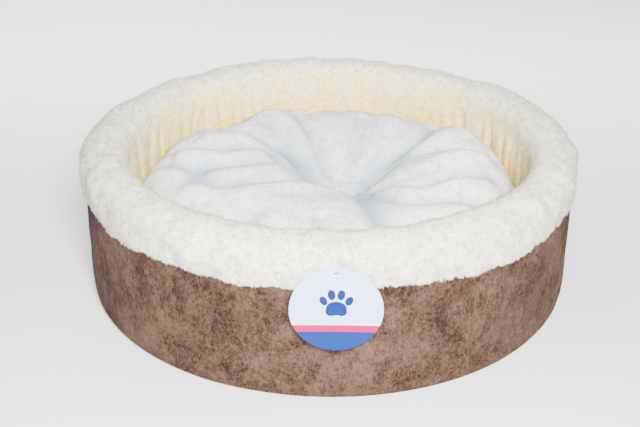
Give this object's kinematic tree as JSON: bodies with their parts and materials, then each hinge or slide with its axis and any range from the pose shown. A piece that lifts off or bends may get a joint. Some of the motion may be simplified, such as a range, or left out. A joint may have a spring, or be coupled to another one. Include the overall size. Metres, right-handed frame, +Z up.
{
  "type": "pet_cushion_bed",
  "caption": "Round pet bed: upright foam wall with a cream plush rim and lining over a brown suede-look sleeve, a loose plush cushion tufted at its centre, and a round card hang tag",
  "frame": {"origin": "centre of the underside, on the surface the bed rests on", "axes": "+Z up out of the bed's mouth; the side with the hang tag faces -Y; +X is to the right of someone looking at the tag"},
  "size_m": [0.4948, 0.5031, 0.1546],
  "materials": {
    "nonslip_fabric": "matte",
    "foam": "matte",
    "brown_suede": "matte",
    "cream_plush": "matte",
    "white_plush": "matte",
    "polyester_fill": "matte",
    "thread": "matte",
    "printed_card": "satin",
    "clear_nylon": "gloss"
  },
  "bodies": {
    "bed": {"base_cover": "nonslip_fabric", "base_pad": "foam", "wall_foam": "foam", "outer_suede_cover": "brown_suede", "plush_liner": "cream_plush", "floor_lining": "cream_plush"},
    "cushion": {"cushion_top_cover": "white_plush", "cushion_bottom_cover": "white_plush", "cushion_filling": "polyester_fill", "tuft_tie": "thread"},
    "tack": {"tag_tack": "clear_nylon"},
    "tag": {"hang_tag": "printed_card"}
  },
  "joints": [
    {"name": "cushion_lift", "type": "slide", "parent": "bed", "child": "cushion", "axis": [0, 0, 1], "range_m": [0, 0.2]},
    {"name": "tag_swing", "type": "hinge", "parent": "bed", "child": "tack", "pos_m": [0.0075, -0.25, 0.1324], "axis": [0, 1, 0], "continuous": true},
    {"name": "tag_lift", "type": "hinge", "parent": "tack", "child": "tag", "pos_m": [0.0075, -0.2534, 0.1324], "axis": [-1, 0, 0], "range_deg": [0, 38]}
  ]
}
